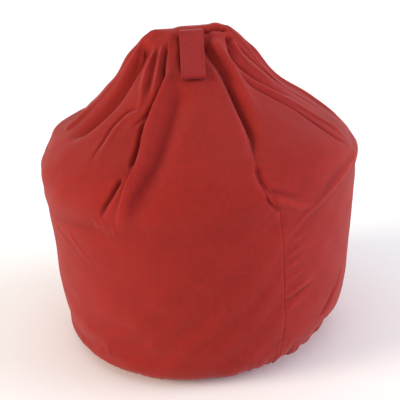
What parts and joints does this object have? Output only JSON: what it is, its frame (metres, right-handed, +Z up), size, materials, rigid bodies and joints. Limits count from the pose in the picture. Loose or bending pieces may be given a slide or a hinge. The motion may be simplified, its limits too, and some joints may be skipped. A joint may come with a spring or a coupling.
{
  "type": "bean bag chair",
  "caption": "Round bean bag chair: fabric cover with a pleated top, flat base and carry handle, over a zipped liner bag filled with beads.",
  "frame": {"origin": "on the floor, under the middle of the bag", "axes": "+Z up, -Y to the front, where the handle hangs"},
  "size_m": [0.7362, 0.7362, 0.748],
  "materials": {
    "cover_fabric": "matte cotton drill, with a faint nap",
    "strap_fabric": "matte cotton drill, folded and top-stitched",
    "binding_tape": "matte herringbone tape",
    "zip_tape": "woven polyester tape",
    "zip_coil": "satin nylon coil",
    "zip_metal": "satin painted die-cast zinc",
    "label_fabric": "blank woven satin label",
    "liner_fabric": "plain white polycotton",
    "liner_zip_tape": "woven polyester tape",
    "liner_zip_coil": "satin nylon coil",
    "beads": "expanded polystyrene beads"
  },
  "bodies": {
    "bag": {"cover_front_panel": "cover_fabric", "cover_rear_panel": "cover_fabric", "cover_base_panel": "cover_fabric", "ridge_seam_binding": "binding_tape", "handle_sewn_ends": "strap_fabric", "care_label": "label_fabric", "liner_wall_panel": "liner_fabric", "liner_top_panel": "liner_fabric", "liner_base_panel": "liner_fabric", "bead_fill": "beads", "cover_zip_tape_left": "zip_tape", "cover_zip_tape_right": "zip_tape", "cover_zip_coil_left": "zip_coil", "cover_zip_coil_right": "zip_coil", "cover_zip_stops": "zip_metal", "liner_zip_tape_left": "liner_zip_tape", "liner_zip_tape_right": "liner_zip_tape", "liner_zip_coil_left": "liner_zip_coil", "liner_zip_coil_right": "liner_zip_coil", "liner_zip_stops": "zip_metal"},
    "handle": {"carry_handle": "strap_fabric"},
    "zip_slider": {"cover_zip_slider": "zip_metal"},
    "zip_pull": {"cover_zip_pull_tab": "zip_metal"},
    "liner_zip_slider": {"liner_zip_slider": "zip_metal"}
  },
  "joints": [
    {"name": "handle_swing", "type": "hinge", "parent": "bag", "child": "handle", "pos_m": [0, -0.025, 0.746], "axis": [-1, 0, 0], "range_deg": [0, 160]},
    {"name": "zip_slider_travel", "type": "slide", "parent": "bag", "child": "zip_slider", "axis": [-0.0322, 0.0582, 0.9978], "range_m": [0, 0.282]},
    {"name": "zip_pull_swing", "type": "hinge", "parent": "zip_slider", "child": "zip_pull", "pos_m": [-0.17005, 0.30677, 0.13907], "axis": [0.8746, 0.4848, 0], "range_deg": [-6, 168]},
    {"name": "liner_zip_slider_travel", "type": "slide", "parent": "bag", "child": "liner_zip_slider", "axis": [0.0538, 0.0391, 0.9978], "range_m": [0, 0.282]}
  ]
}
